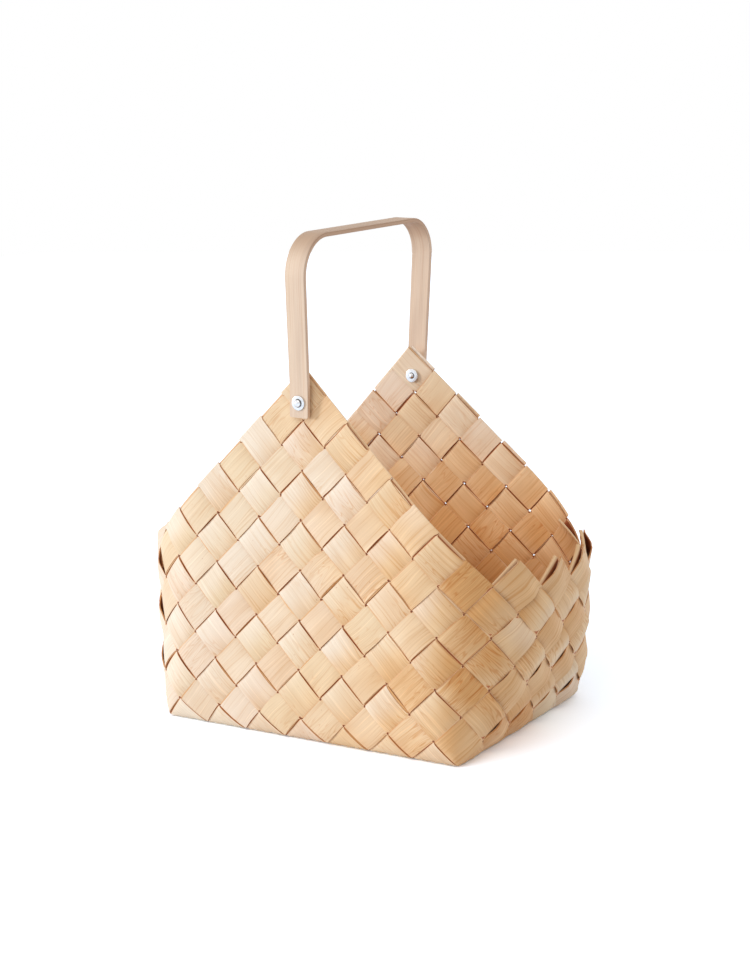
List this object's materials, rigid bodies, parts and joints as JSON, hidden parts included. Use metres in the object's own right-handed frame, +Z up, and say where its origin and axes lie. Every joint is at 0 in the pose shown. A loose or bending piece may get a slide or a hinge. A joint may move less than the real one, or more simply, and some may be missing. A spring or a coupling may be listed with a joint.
{
  "type": "mushroom foraging basket",
  "caption": "Bias-plaited birch splint basket with peaked front and back, stepped rim and a hinged bentwood handle riveted to the peaks.",
  "frame": {"origin": "middle of the base's underside", "axes": "+Z up; X along the basket between its two low ends; the front wall, which faces the camera in the picture, is at -Y"},
  "size_m": [0.4038, 0.23, 0.4323],
  "materials": {
    "birch_cream": "bare sliced veneer, cream",
    "birch_pale": "bare sliced veneer, pale",
    "birch_rose": "bare sliced veneer, pinkish",
    "birch_honey": "bare sliced veneer, honey",
    "bent_birch": "sanded, laminated and steam-bent",
    "rivet_steel": "polished"
  },
  "bodies": {
    "basket": {"warp_splint_01": "birch_rose", "warp_splint_02": "birch_honey", "warp_splint_03": "birch_cream", "warp_splint_04": "birch_pale", "warp_splint_05": "birch_rose", "warp_splint_06": "birch_honey", "warp_splint_07": "birch_cream", "warp_splint_08": "birch_pale", "warp_splint_09": "birch_rose", "warp_splint_10": "birch_honey", "warp_splint_11": "birch_cream", "warp_splint_12": "birch_pale", "weft_splint_01": "birch_pale", "weft_splint_02": "birch_rose", "weft_splint_03": "birch_honey", "weft_splint_04": "birch_cream", "weft_splint_05": "birch_pale", "weft_splint_06": "birch_rose", "weft_splint_07": "birch_honey", "weft_splint_08": "birch_cream", "weft_splint_09": "birch_pale", "weft_splint_10": "birch_rose", "weft_splint_11": "birch_honey", "weft_splint_12": "birch_cream", "rivet_front": "rivet_steel", "rivet_back": "rivet_steel", "cap_washer_front": "rivet_steel", "cap_washer_back": "rivet_steel", "spacer_front": "rivet_steel", "spacer_back": "rivet_steel", "inner_washer_front": "rivet_steel", "inner_washer_back": "rivet_steel"},
    "handle": {"handle": "bent_birch"}
  },
  "joints": [
    {"name": "handle_hinge", "type": "hinge", "parent": "basket", "child": "handle", "pos_m": [0, 0, 0.28858], "axis": [0, 1, 0], "range_deg": [-120, 114]}
  ]
}
